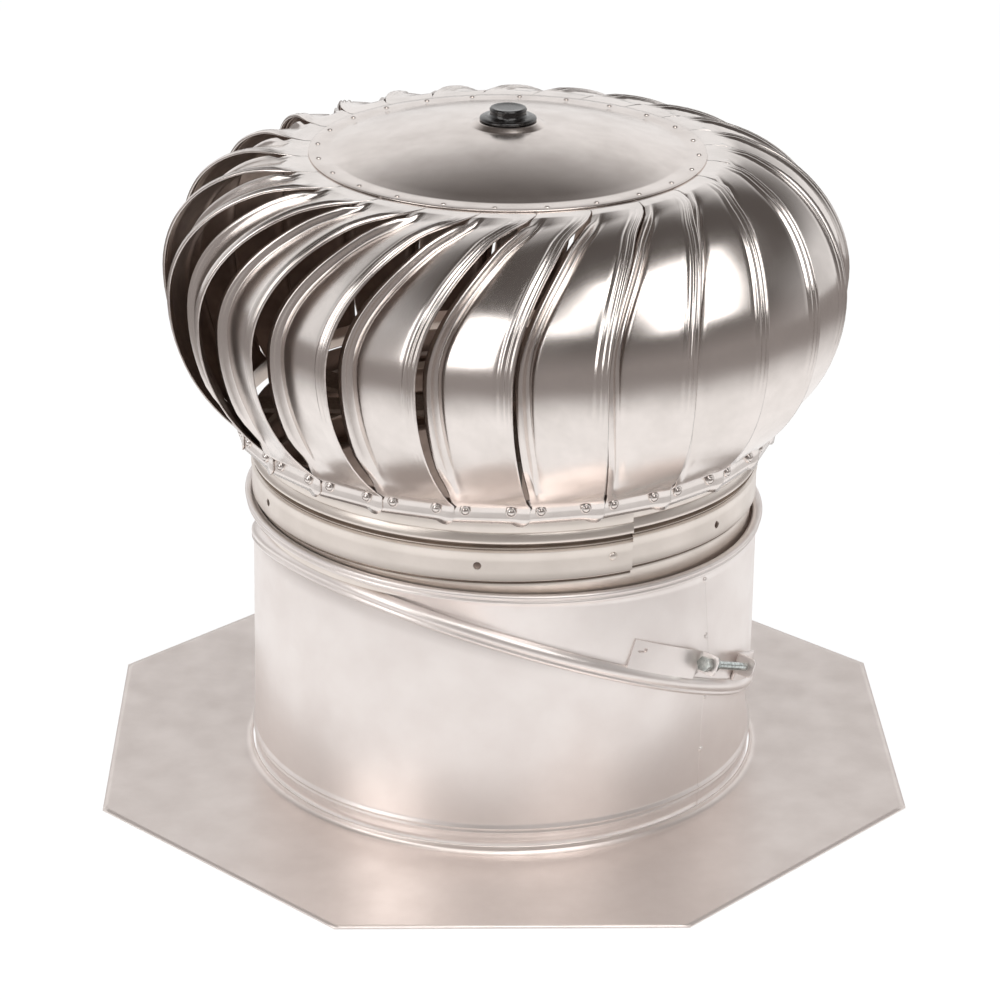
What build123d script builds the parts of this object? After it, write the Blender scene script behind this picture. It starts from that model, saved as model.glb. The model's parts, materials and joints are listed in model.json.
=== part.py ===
"""Roof turbine ventilator: a vaned rotor on a fixed shaft, over an adjustable two-piece base.

Millimetres, +Z up. The origin is the centre of the underside of the roof flashing.
"""

from build123d import *
from math import acos, atan2, cos, degrees, pi, radians, sin, tan
import os

os.makedirs("parts", exist_ok=True)

# Driving dimensions: base
throat_r = 152.4        # outside of the duct, a 12 inch throat
base_sheet = 1.0
flashing_sides = 8
flashing_reach = 86.5   # from the duct to the middle of each side
flashing_sheet = 1.0
flashing_turn = 1.8     # the base sits this many degrees round from square
upstand_w = 9.6         # where the flashing starts to rise towards the duct
upstand_z = 5.0
foot_bead_z = 15.5      # rolled bead above the flashing
foot_bead_h = 4.0
foot_bead_proud = 1.6
foot_top_z = 19.0       # end of the straight foot of the lower duct

# Driving dimensions: tilted joint between the two halves of the base
seam_clear = 7.6756     # the joint's lowest point above the foot
seam_tilt = 22.5        # half of the steepest roof pitch, 45 degrees
seam_high_side = -137.0 # direction of the joint's highest point
neck_swell = 4.1        # both necks stand this far outside the throat
neck_h = 6.0
flange_w = 1.6
flange_t = 1.0
running_gap = 0.3

# Driving dimensions: clamp band round the joint
band_half_h = 5.2
band_crest_half_h = 3.2
band_crest = 3.1        # crest above the neck
band_fit = 0.4          # the band's edges clear the necks by this
band_sheet = 1.2
lug_top = 21.5          # height of the lugs above the joint plane
lug_bottom = 3.6
lug_gap = 0.5           # between the lugs and the neck
ear_t = 1.8
ear_bottom = 9.5        # the ears start this far above the joint plane
ear_out = 12.0          # reach of the ears from the lugs
left_lug_start = -60.0  # directions, from the duct's axis
left_ear_at = -45.5
right_ear_at = -31.0
right_lug_end = -21.0
bolt_r = 2.5
bolt_hole_gap = 0.2
bolt_flats = 8.0
bolt_head_h = 3.5
bolt_tail = 2.5         # threads that show past the ear
nut_flats = 9.0
nut_t = 6.5

# Driving dimensions: rim of the base and throat of the head
rim_clear = 3.7756      # the rim's foot above the joint's highest point
rim_lean = 1.9          # the rim was set this far out of level, high on the left
rim_h = 5.4
rim_proud = 3.6
rim_flare = 1.8         # height of the slope under the rim's bead
collar_inset = 1.2      # the collar is this much smaller than the throat
collar_sheet = 1.0
collar_h = 43.0         # from the taper to the top
collar_groove_rise = 22.0
collar_groove_h = 3.0
collar_groove_d = 0.6
taper_h = 14.0
taper_in = 10.3
spigot_h = 6.5
spigot_depth = 9.1      # how far the spigot drops below the rim's foot

# Driving dimensions: shaft and its fixed bracket
shaft_r = 6.0
shaft_tail = 27.0       # below the bracket
shaft_nut_flats = 19.0
shaft_nut_t = 6.0
shaft_chamfer = 1.0
bracket_drop = 11.5     # below the collar's top
bracket_bar_w = 22.0
bracket_bar_t = 3.0
bracket_ear_h = 9.5
bracket_hub_r = 14.0
bracket_hub_h = 7.0
bracket_arms = 3
bracket_turn = 25.0
bearing_r = 13.0
bearing_h = 9.0
bearing_fit = 0.05
bearing_lip = 3.0       # how far a seat's shoulder covers the bearing

# Driving dimensions: rotor
vane_count = 24
vane_phase = -85.1      # direction of one slit between two tabs
vane_sheet = 0.9
tab_out = 10.0          # corner of a tab, where two vanes meet, outside the collar
tab_lap = 2.0           # the tabs reach this far below the collar's top
belly_out = 40.1        # the belly outside the tabs' corners
belly_rise = 91.5       # the belly's height above the tabs' bottom
shoulder_arc = 73.5
flare_arc = 106.0
vane_lean = 3.8         # degrees that the lip stands back at the belly
top_sweep = 17.0        # degrees that the lip runs forward over the shoulder
inner_tab_sweep = 4.0
vane_gap = 0.7          # degrees between one lip and the next vane's hidden edge
vane_depth = 16.5       # how far the hidden edge lies inside the lip
vane_depth_ease = 0.7   # below 1, the depth comes and goes quickly
belly_steps = 6
hoop_sheet = 1.5
hoop_h = 12.0
hoop_fit = 0.01
spider_rise = 4.5       # above the tabs' bottom
spider_bar_w = 20.0
spider_bar_t = 2.5
spider_arms = 4
spider_ear_h = 30.0
spider_hub_r = 18.0

# Driving dimensions: crown, hub and cap
crown_inset = 12.5      # the crown's edge inside the vanes' shoulder
crown_flange_w = 12.3
crown_sheet = 0.9
inner_tab_past = 2.0    # the top tabs stop this far short of the dome
dome_arc = 341.0
boss_r = 21.5
boss_slope_w = 3.5
boss_h = 2.4
boss_bore_gap = 0.6
hub_wall = 4.0
hub_h = 24.0
hub_lip = 3.5           # how far the hub's shoulder covers its bearing
hub_skirt = 1.5         # the hub's reach below its bearing
ring_w = 2.4
ring_t = 1.5
thrust_w = 3.5
thrust_h = 5.0
cap_flange_w = 10.0     # the cap's flange outside its bore
cap_button_w = 4.2
cap_flange_t = 2.6
cap_flange_slope = 0.8
cap_h = 7.6
cap_stem_h = 4.6
cap_fit = 0.2
shaft_cap_gap = 0.9492  # between the shaft's end and the cap's stem

# Heights and radii that follow from them
seam_r = throat_r + neck_swell
seam_half_rise = seam_r * tan(radians(seam_tilt))
seam_z = foot_top_z + seam_half_rise + seam_clear
rim_z = seam_z + seam_half_rise + rim_clear
spigot_bottom_z = rim_z - spigot_depth
spigot_top_z = spigot_bottom_z + spigot_h
collar_taper_top_z = spigot_top_z + taper_h
collar_groove_z = collar_taper_top_z + collar_groove_rise
collar_top_z = collar_taper_top_z + collar_h
bracket_z = collar_top_z - bracket_drop
shaft_bottom_z = bracket_z - shaft_tail
tab_bottom_z = collar_top_z - tab_lap
belly_z = tab_bottom_z + belly_rise
head_top_z = belly_z + shoulder_arc
spider_z = tab_bottom_z + spider_rise
upstand_foot_r = throat_r + upstand_w
flange_r = seam_r + flange_w
collar_r = throat_r - collar_inset
spigot_r = collar_r - taper_in
tab_line_r = collar_r + tab_out
belly_r = tab_line_r + belly_out
crown_r = belly_r - shoulder_arc - crown_inset
dome_r = crown_r - crown_flange_w
flange_top = head_top_z + crown_sheet
dome_rise = (dome_arc**2 - boss_r**2) ** 0.5 - (dome_arc**2 - dome_r**2) ** 0.5
boss_top_z = flange_top + dome_rise + boss_h
shaft_top_z = boss_top_z - cap_stem_h - shaft_cap_gap
inner_tab_r = dome_r + inner_tab_past
boss_top_r = boss_r - boss_slope_w
boss_bore_r = shaft_r + boss_bore_gap
hub_r = bearing_r + hub_wall
hub_bore_r = bearing_r - hub_lip
ring_r = shaft_r + ring_w
thrust_r = shaft_r + thrust_w
cap_flange_r = boss_bore_r + cap_flange_w
cap_button_r = boss_bore_r + cap_button_w

# Frames of the joint and the rim, and sizes of the vanes' pattern
high_dir = Vector(cos(radians(seam_high_side)), sin(radians(seam_high_side)), 0)
seam_normal = Vector(0, 0, 1) * cos(radians(seam_tilt)) - high_dir * sin(radians(seam_tilt))
seam_x = Vector(-high_dir.Y, high_dir.X, 0)
seam_plane = Plane(origin=(0, 0, seam_z), x_dir=seam_x, z_dir=seam_normal)
rim_normal = Vector(sin(radians(rim_lean)), 0, cos(radians(rim_lean)))
rim_plane = Plane(origin=(0, 0, rim_z), x_dir=seam_x - rim_normal * seam_x.dot(rim_normal), z_dir=rim_normal)
pitch = 360 / vane_count
tab_angle = acos((tab_line_r - belly_r + flare_arc) / flare_arc)
tab_slope = degrees(tab_angle)
hoop_r = tab_line_r * cos(radians((pitch - vane_gap) / 2)) - vane_sheet - hoop_fit


def side_of(plane):
    """The plane that holds a section through the given plane's axis."""
    return Plane(origin=plane.origin, x_dir=plane.x_dir, z_dir=-plane.y_dir)


def outline(points):
    """A face inside the closed line through the points."""
    with BuildLine() as line:
        Polyline(*points, close=True)
    make_face(line.edges())


def turned(points, plane=Plane.XY, mode=Mode.ADD):
    """Turn a section, given as (radius, height) pairs, about the plane's axis."""
    with BuildSketch(side_of(plane)) as section:
        outline(points)
    revolve(section.sketch, axis=Axis(plane.origin, plane.z_dir), mode=mode)


def drum(plane, radius, bottom, top, mode=Mode.ADD):
    """A cylinder along the plane's axis."""
    with BuildSketch(plane.offset(bottom)) as end:
        Circle(radius)
    extrude(end.sketch, amount=top - bottom, mode=mode)


def funnel(low_plane, low_r, high_plane, high_r, mode=Mode.ADD):
    """A solid that runs from one circle to another, tilted one."""
    with BuildSketch(low_plane) as low:
        Circle(low_r)
    with BuildSketch(high_plane) as high:
        Circle(high_r)
    loft([low.sketch, high.sketch], mode=mode)


def level(z):
    """A level plane, turned so that circles start where the joint's circle does."""
    return Plane(origin=(0, 0, z), x_dir=seam_x, z_dir=(0, 0, 1))


def save(part, name):
    """Label a piece and write it."""
    part.label = name
    export_step(part, f"parts/{name}.step")


# Roof flashing: an octagon with a raised foot round the duct
with BuildPart() as flashing:
    with BuildSketch() as octagon:
        RegularPolygon(throat_r + flashing_reach, flashing_sides, major_radius=False, rotation=flashing_turn + 180 / flashing_sides)
    extrude(amount=flashing_sheet)
    turned(
        [
            (throat_r + running_gap, 0),
            (upstand_foot_r, 0),
            (upstand_foot_r, flashing_sheet),
            (throat_r + running_gap + flashing_sheet, upstand_z),
            (throat_r + running_gap, upstand_z),
        ]
    )
    drum(Plane.XY, throat_r + running_gap, 0, upstand_z, mode=Mode.SUBTRACT)
save(flashing.part, "flashing")


def lower_duct_solid(inset, mode):
    """The lower duct's outer form, or its bore when inset by the sheet."""
    drum(level(0), throat_r - inset, 0, foot_top_z, mode=mode)
    funnel(level(foot_top_z), throat_r - inset, seam_plane.offset(-neck_h), seam_r - inset, mode=mode)
    drum(seam_plane, seam_r - inset, -neck_h, 0, mode=mode)


with BuildPart() as base_lower:
    lower_duct_solid(0, Mode.ADD)
    turned(
        [
            (throat_r - base_sheet / 2, foot_bead_z - foot_bead_h / 2),
            (throat_r + foot_bead_proud, foot_bead_z),
            (throat_r - base_sheet / 2, foot_bead_z + foot_bead_h / 2),
        ]
    )
    drum(seam_plane, flange_r, -flange_t, 0)
    lower_duct_solid(base_sheet, Mode.SUBTRACT)
save(base_lower.part, "base_lower")


def upper_duct_solid(inset, mode):
    """The upper duct's outer form, or its bore when inset by the sheet."""
    drum(seam_plane, seam_r - inset, 0, neck_h, mode=mode)
    funnel(seam_plane.offset(neck_h), seam_r - inset, rim_plane, throat_r - inset, mode=mode)
    drum(rim_plane, throat_r - inset, 0, rim_h, mode=mode)


with BuildPart() as base_upper:
    upper_duct_solid(0, Mode.ADD)
    drum(seam_plane, flange_r, 0, flange_t)
    turned(
        [
            (throat_r - base_sheet / 2, 0),
            (throat_r + rim_proud, rim_flare),
            (throat_r + rim_proud, rim_h),
            (throat_r - base_sheet / 2, rim_h),
        ],
        rim_plane,
    )
    upper_duct_solid(base_sheet, Mode.SUBTRACT)
save(base_upper.part, "base_upper")


def around(radius, angle, z):
    """A point at a radius and a direction in degrees about the main axis."""
    return Vector(radius * cos(radians(angle)), radius * sin(radians(angle)), z)


def seam_angle(direction):
    """The angle in the joint's plane that lies under a level direction."""
    local = seam_plane.to_local_coords(around(1, direction, seam_z))
    return degrees(atan2(local.Y, local.X))


def arc_plate(inner_r, outer_r, bottom, top, start, end, plane=Plane.XY, mode=Mode.ADD):
    """A curved plate between two angles of the plane."""
    with BuildSketch(plane.offset(bottom)) as sector:
        Circle(outer_r)
        Circle(inner_r, mode=Mode.SUBTRACT)
        with BuildLine() as wedge:
            reach = 2 * outer_r
            Polyline(
                (0, 0),
                (reach * cos(radians(start)), reach * sin(radians(start))),
                (reach * cos(radians(end)), reach * sin(radians(end))),
                close=True,
            )
        make_face(wedge.edges(), mode=Mode.INTERSECT)
    extrude(sector.sketch, amount=top - bottom, mode=mode)


# Clamp band: a split ring over both flanges, with a lug at each end for the bolt
left_start = seam_angle(left_lug_start)
left_ear = seam_angle(left_ear_at)
right_ear = seam_angle(right_ear_at)
right_end = seam_angle(right_lug_end)
lug_r = seam_r + lug_gap
bolt_reach = lug_r + ear_out / 2
bolt_up = (ear_bottom + lug_top) / 2
bolt_angle = (left_ear + right_ear) / 2
bolt_hole_r = bolt_r + bolt_hole_gap


def ear_frame(angle, ahead=0.0):
    """A plane across the bolt: x runs out from the duct, y up the joint's axis."""
    out = seam_plane.from_local_coords((cos(radians(angle)), sin(radians(angle)), 0)) - seam_plane.origin
    along = seam_normal.cross(out)
    return Plane(origin=seam_plane.origin + along * ahead, x_dir=out, z_dir=-along)


def bolt_frame(ahead):
    """The bolt's own plane, moved along it."""
    middle = ear_frame(bolt_angle, ahead)
    return Plane(
        origin=middle.origin + middle.x_dir * bolt_reach + seam_normal * bolt_up,
        x_dir=middle.x_dir,
        z_dir=middle.z_dir,
    )


ear_half_span = bolt_reach * tan(radians((right_ear - left_ear) / 2))
ear_tip = lug_r + ear_out
ear_root = ((lug_r + band_sheet / 2) ** 2 - ear_half_span**2) ** 0.5  # half way into the lug's sheet

with BuildPart() as clamp_band:
    turned(
        [
            (seam_r + band_fit, -band_half_h),
            (seam_r + band_crest, -band_crest_half_h),
            (seam_r + band_crest, band_crest_half_h),
            (seam_r + band_fit, band_half_h),
            (flange_r + running_gap, flange_t + running_gap),
            (flange_r + running_gap, -flange_t - running_gap),
        ],
        seam_plane,
    )
    arc_plate(seam_r, ear_tip, -lug_top, lug_top, left_ear, right_ear, seam_plane, Mode.SUBTRACT)
    arc_plate(lug_r, lug_r + band_sheet, lug_bottom, lug_top, left_start, left_ear, seam_plane)
    arc_plate(lug_r, lug_r + band_sheet, lug_bottom, lug_top, right_ear, right_end, seam_plane)
    for side in (-1, 1):
        ear = bolt_frame(side * ear_half_span)
        with BuildSketch(ear) as ear_face:
            with Locations(((ear_root + ear_tip) / 2 - bolt_reach, 0)):
                Rectangle(ear_tip - ear_root, lug_top - ear_bottom)
            Circle(bolt_hole_r, mode=Mode.SUBTRACT)
        extrude(ear_face.sketch, amount=ear_t / 2, both=True)
save(clamp_band.part, "clamp_band")

with BuildPart() as clamp_bolt:
    with BuildSketch(bolt_frame(-ear_half_span - ear_t / 2)) as bolt_head:
        RegularPolygon(bolt_flats / 2, 6, major_radius=False)
    extrude(bolt_head.sketch, amount=bolt_head_h)
    with BuildSketch(bolt_frame(-ear_half_span - ear_t / 2)) as bolt_shank:
        Circle(bolt_r)
    extrude(bolt_shank.sketch, amount=-(2 * ear_half_span + ear_t + bolt_tail))
save(clamp_bolt.part, "clamp_bolt")

with BuildPart() as clamp_nut:
    with BuildSketch(bolt_frame(-ear_half_span + ear_t / 2)) as nut_face:
        RegularPolygon(nut_flats / 2, 6, major_radius=False)
        Circle(bolt_r + bearing_fit, mode=Mode.SUBTRACT)
    extrude(nut_face.sketch, amount=-nut_t)
save(clamp_nut.part, "clamp_nut")


def spoke_plane(angle, radius, height):
    """A plane across a spoke: x runs sideways, y up, z out from the axis."""
    out = around(1, angle, 0)
    return Plane(origin=around(radius, angle, height), x_dir=Vector(0, 0, 1).cross(out), z_dir=out)


def bar(angle, from_r, to_r, width, bottom, top, mode=Mode.ADD):
    """A straight bar that runs out along a spoke."""
    with BuildSketch(spoke_plane(angle, from_r, (bottom + top) / 2)) as end:
        Rectangle(width, top - bottom)
    extrude(end.sketch, amount=to_r - from_r, mode=mode)


# Throat of the head: it drops into the base by a tapered spigot
collar_bore_r = collar_r - collar_sheet
bracket_ear_r = collar_bore_r - bracket_bar_t
bracket_angles = [bracket_turn + spoke * 360 / bracket_arms for spoke in range(bracket_arms)]

with BuildPart() as collar:
    turned(
        [
            (spigot_r - collar_sheet, spigot_bottom_z),
            (spigot_r, spigot_bottom_z),
            (spigot_r, spigot_top_z),
            (collar_r, collar_taper_top_z),
            (collar_r, collar_groove_z - collar_groove_h / 2),
            (collar_r - collar_groove_d, collar_groove_z),
            (collar_r, collar_groove_z + collar_groove_h / 2),
            (collar_r, collar_top_z),
            (collar_bore_r, collar_top_z),
            (collar_bore_r, collar_taper_top_z + collar_sheet / 2),
            (spigot_r - collar_sheet, spigot_top_z + collar_sheet / 2),
        ]
    )
save(collar.part, "collar")

with BuildPart() as shaft_bracket:
    drum(Plane.XY, bracket_hub_r, bracket_z, bracket_z + bracket_hub_h)
    for angle in bracket_angles:
        bar(angle, 0, collar_r, bracket_bar_w, bracket_z, bracket_z + bracket_bar_t)
        bar(angle, bracket_ear_r, collar_r, bracket_bar_w, bracket_z, bracket_z + bracket_ear_h)
    drum(Plane.XY, collar_bore_r - bearing_fit, bracket_z, bracket_z + bracket_ear_h, mode=Mode.INTERSECT)
    drum(Plane.XY, shaft_r + bearing_fit, bracket_z, bracket_z + bracket_ear_h, mode=Mode.SUBTRACT)
save(shaft_bracket.part, "shaft_bracket")

# Fixed shaft, its two nuts, and the collar that the top bearing runs on
with BuildPart() as shaft:
    drum(Plane.XY, shaft_r, shaft_bottom_z, shaft_top_z)
    chamfer(shaft.edges().filter_by(GeomType.CIRCLE), shaft_chamfer)
save(shaft.part, "shaft")


def hex_nut(bottom):
    """A nut on the shaft."""
    with BuildSketch(Plane.XY.offset(bottom)) as face:
        RegularPolygon(shaft_nut_flats / 2, 6, major_radius=False)
        Circle(shaft_r + bearing_fit, mode=Mode.SUBTRACT)
    extrude(face.sketch, amount=shaft_nut_t)


with BuildPart() as shaft_nuts:
    hex_nut(bracket_z - shaft_nut_t)
    hex_nut(bracket_z + bracket_hub_h)
save(shaft_nuts.part, "shaft_nuts")


def sleeve(outer_r, bore_r, bottom, top):
    """A plain ring about the main axis."""
    with BuildSketch(Plane.XY.offset(bottom)) as ring:
        Circle(outer_r)
        Circle(bore_r, mode=Mode.SUBTRACT)
    extrude(ring.sketch, amount=top - bottom)


# Rotor: lower spider with its bearing, and the hoop that carries the vanes' tabs
hoop_bore_r = hoop_r - hoop_sheet
spider_angles = [180 + spoke * 360 / spider_arms for spoke in range(spider_arms)]
low_bearing_z = spider_z + spider_bar_t
spider_ear_r = hoop_bore_r - spider_bar_t

with BuildPart() as rotor_spider:
    drum(Plane.XY, spider_hub_r, spider_z, low_bearing_z + bearing_h)
    for angle in spider_angles:
        bar(angle, 0, hoop_r, spider_bar_w, spider_z, spider_z + spider_bar_t)
        bar(angle, spider_ear_r, hoop_r, spider_bar_w, spider_z, spider_z + spider_ear_h)
    drum(Plane.XY, hoop_bore_r - bearing_fit, spider_z, spider_z + spider_ear_h, mode=Mode.INTERSECT)
    drum(Plane.XY, bearing_r - bearing_lip, spider_z, low_bearing_z, mode=Mode.SUBTRACT)
    drum(Plane.XY, bearing_r, low_bearing_z, low_bearing_z + bearing_h, mode=Mode.SUBTRACT)
save(rotor_spider.part, "rotor_spider")

with BuildPart() as lower_bearing:
    sleeve(bearing_r, shaft_r + bearing_fit, low_bearing_z, low_bearing_z + bearing_h)
save(lower_bearing.part, "lower_bearing")

with BuildPart() as hoop:
    sleeve(hoop_r, hoop_bore_r, tab_bottom_z, tab_bottom_z + hoop_h)
save(hoop.part, "hoop")

# Vanes: a tab on the hoop, a belly straight across its width, and a tab under the crown


def edges_at(number, radius, height, sweep, facing=0.0, depth=0.0):
    """The vane's hidden edge and its lip, at one station of its profile."""
    first = vane_phase + number * pitch + sweep
    hidden_r = radius - depth * cos(radians(facing))
    hidden_z = height - depth * sin(radians(facing))
    return around(hidden_r, first + vane_gap, hidden_z), around(radius, first + pitch, height)


def sheet_section(number, radius, height, sweep, facing, depth=0.0):
    """The sheet's section at a station; facing is the slope of the outward normal."""
    hidden, lip = edges_at(number, radius, height, sweep, facing, depth)
    middle = vane_phase + (number + 0.5) * pitch + sweep
    inward = around(-cos(radians(facing)), middle, -sin(radians(facing)))
    across = lip - hidden
    with BuildSketch(Plane(origin=hidden, x_dir=across, z_dir=across.cross(inward))) as section:
        Rectangle(across.length, vane_sheet, align=(Align.MIN, Align.MIN))
    return section.sketch


def belly_section(number, share):
    """The section a share of the way up the belly, from the tab's bend to the top."""
    facing = -tab_slope + (90 + tab_slope) * share
    arc = flare_arc if facing < 0 else shoulder_arc
    sweep_gain = top_sweep if facing > 0 else vane_lean / (1 - cos(tab_angle))
    sweep = sweep_gain * (1 - cos(radians(facing))) - vane_lean
    depth = vane_depth * max(0, sin(pi * share)) ** vane_depth_ease
    radius = belly_r - arc + arc * cos(radians(facing))
    return sheet_section(number, radius, belly_z + arc * sin(radians(facing)), sweep, facing, depth)


top_tab_sweep = top_sweep - vane_lean + inner_tab_sweep

for number in range(vane_count):
    with BuildPart() as vane:
        stations = [belly_section(number, step / belly_steps) for step in range(belly_steps + 1)]
        loft(stations)
        low_tab = sheet_section(number, tab_line_r, tab_bottom_z, 0, 0)
        loft([low_tab, stations[0]], ruled=True)
        top_tab = sheet_section(number, inner_tab_r, head_top_z, top_tab_sweep, 90)
        loft([stations[-1], top_tab], ruled=True)
    save(vane.part, f"vane_{number + 1:02d}")

# Crown: a flange on the vanes' top tabs, a shallow dome and a raised boss
dome_centre_z = flange_top - (dome_arc**2 - dome_r**2) ** 0.5


def dome_z(radius, inset=0.0):
    """Height of the dome at a radius, or of its underside."""
    return dome_centre_z + ((dome_arc - inset) ** 2 - radius**2) ** 0.5


hub_top_z = boss_top_z - crown_sheet
hub_bottom_z = hub_top_z - hub_h
top_bearing_z = hub_bottom_z + hub_skirt
ring_z = top_bearing_z + bearing_h + running_gap
inner_dome_r = dome_r - crown_sheet

with BuildPart() as crown:
    with BuildSketch(Plane.XZ) as crown_section:
        with BuildLine() as crown_line:
            Polyline(
                (inner_dome_r, head_top_z),
                (crown_r, head_top_z),
                (crown_r, flange_top),
                (dome_r, flange_top),
            )
            outer_mid = (dome_r + boss_r) / 2
            ThreePointArc((dome_r, flange_top), (outer_mid, dome_z(outer_mid)), (boss_r, dome_z(boss_r)))
            Polyline(
                (boss_r, dome_z(boss_r)),
                (boss_top_r, boss_top_z),
                (boss_bore_r, boss_top_z),
                (boss_bore_r, boss_top_z - crown_sheet),
                (boss_top_r - crown_sheet / 2, boss_top_z - crown_sheet),
                (boss_r - crown_sheet / 2, dome_z(boss_r, crown_sheet)),
            )
            inner_mid = (inner_dome_r + boss_r) / 2
            ThreePointArc(
                (boss_r - crown_sheet / 2, dome_z(boss_r, crown_sheet)),
                (inner_mid, dome_z(inner_mid, crown_sheet)),
                (inner_dome_r, head_top_z),
            )
        make_face(crown_line.edges())
    revolve(crown_section.sketch, axis=Axis.Z)
save(crown.part, "crown")

with BuildPart() as crown_hub:
    turned(
        [
            (bearing_r, hub_bottom_z),
            (hub_r, hub_bottom_z),
            (hub_r, hub_top_z),
            (hub_bore_r, hub_top_z),
            (hub_bore_r, top_bearing_z + bearing_h),
            (bearing_r, top_bearing_z + bearing_h),
        ]
    )
save(crown_hub.part, "crown_hub")

with BuildPart() as upper_bearing:
    sleeve(bearing_r, shaft_r + bearing_fit, top_bearing_z, top_bearing_z + bearing_h)
save(upper_bearing.part, "upper_bearing")

with BuildPart() as thrust_collar:
    thrust_top = top_bearing_z - running_gap
    sleeve(thrust_r, shaft_r + bearing_fit, thrust_top - thrust_h, thrust_top)
save(thrust_collar.part, "thrust_collar")

with BuildPart() as retaining_ring:
    sleeve(ring_r, shaft_r + bearing_fit, ring_z, ring_z + ring_t)
save(retaining_ring.part, "retaining_ring")

# Rubber weather cap: a plug with a flange and a button
with BuildPart() as weather_cap:
    turned(
        [
            (0, boss_top_z - cap_stem_h),
            (boss_bore_r - cap_fit, boss_top_z - cap_stem_h),
            (boss_bore_r - cap_fit, boss_top_z),
            (cap_flange_r, boss_top_z),
            (cap_flange_r, boss_top_z + cap_flange_t - cap_flange_slope),
            (cap_button_r, boss_top_z + cap_flange_t),
            (cap_button_r, boss_top_z + cap_h),
            (0, boss_top_z + cap_h),
        ]
    )
save(weather_cap.part, "weather_cap")
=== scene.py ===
"""Looks of the roof turbine ventilator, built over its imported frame.

Sizes are named in millimetres and turned into metres where a mesh is made.
"""

import json
import math

import bpy
from mathutils import Matrix, Vector


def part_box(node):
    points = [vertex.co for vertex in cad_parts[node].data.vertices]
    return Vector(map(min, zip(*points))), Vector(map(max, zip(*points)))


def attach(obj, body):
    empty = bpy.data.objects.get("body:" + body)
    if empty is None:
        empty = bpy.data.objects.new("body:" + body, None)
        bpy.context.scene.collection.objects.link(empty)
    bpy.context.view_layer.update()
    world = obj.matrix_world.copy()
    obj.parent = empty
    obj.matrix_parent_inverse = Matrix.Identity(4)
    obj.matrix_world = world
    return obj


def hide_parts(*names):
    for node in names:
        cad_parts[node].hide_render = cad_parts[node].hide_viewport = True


MM = 0.001

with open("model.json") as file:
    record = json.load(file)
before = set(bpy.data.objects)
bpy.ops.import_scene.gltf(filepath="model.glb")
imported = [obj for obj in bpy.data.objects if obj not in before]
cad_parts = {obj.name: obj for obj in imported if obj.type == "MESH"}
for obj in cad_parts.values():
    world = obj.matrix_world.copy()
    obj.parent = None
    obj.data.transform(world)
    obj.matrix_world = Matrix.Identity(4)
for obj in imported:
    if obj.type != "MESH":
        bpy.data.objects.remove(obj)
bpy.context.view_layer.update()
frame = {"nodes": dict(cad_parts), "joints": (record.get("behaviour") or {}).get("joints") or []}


def box_mm(node):
    """Lowest and highest corners of a CAD node, in millimetres."""
    low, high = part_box(node)
    return low / MM, high / MM


# Sizes from the frame
swivel = next(joint for joint in frame["joints"] if joint["name"] == "base_swivel")
seam_centre = Vector(swivel["pos_m"]) / MM
seam_normal = Vector(swivel["axis"]).normalized()
collar_top_z = box_mm("collar")[1].z
cap_low, cap_high = box_mm("weather_cap")

# Sizes of the base
throat_r = 152.4
base_sheet = 1.0
flashing_apothem = 238.9
flashing_sides = 8
flashing_turn = 1.8
flashing_sheet = 1.0
foot_r = 158.8          # where the flashing's fillet meets its flat
foot_curl = 4.4         # radius of that fillet
foot_top_z = 19.0
seam_r = 156.5
neck_h = 6.0
rim_centre = Vector((0, 0, 160.1))
rim_lean = 1.9
rim_normal = Vector((math.sin(math.radians(rim_lean)), 0, math.cos(math.radians(rim_lean))))
rim_h = 5.4
rim_proud = 3.6
rim_curl = 1.5          # radius of the rim's two beads
flange_out = 1.6        # the small flanges on which the upper duct turns
flange_gap = 0.2        # from each flange to the joint's plane
flange_t = 1.2
lap_at = -40.0          # direction of the ducts' lap seams
lap_step = 0.16
lap_fade = (6, 26)      # degrees past the lap over which its step fades out
upper_lap_rivets = (150.8, 116.1)
lower_lap_rivets = (77.2, 42.0)

# Sizes of the clamp: directions in degrees, heights above the joint's plane
left_lug_at = -63.4
left_ear_at = -45.5
right_ear_at = -31.0
right_lug_at = -21.0
bolt_out = 6.5          # from the neck to the bolt's axis
lug_r = seam_r + 1.5
lug_low = 3.0
lug_high = 21.5
ear_low = 9.5
ear_out = 10.5
ear_bend = 1.8
ear_t = 1.6
ear_corner = 3.0
band_sheet = 0.5
slot_at = -61.1
slot_h = 16.0
slot_r = 1.3
slot_half = 1.9
slot_rise = 0.5         # how far the slot climbs in a degree
slot_reach = 4.0

# Sizes of the throat collar
collar_r = 151.2
collar_sheet = 1.0
collar_taper_z = 171.5
spigot_r = 140.9
spigot_z = 157.5
collar_lap_at = -61.2
collar_lap_drop = 2.3   # how much lower the collar's lines are left of its lap
collar_lap_step = 0.6
collar_lap_fade = (4, 20)
collar_drift_span = 60
collar_shade_depth = 0.9  # deeper than this below the collar's face, its sheet is duller and darker: painted shade, with some grime
collar_hole_z = 181.4
collar_hole_r = 2.3
collar_hole_reach = 5.0
collar_hole_at = -95.5
collar_holes = 6
collar_rivet_at = -65.9
collar_rivet_z = 182.9

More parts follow.
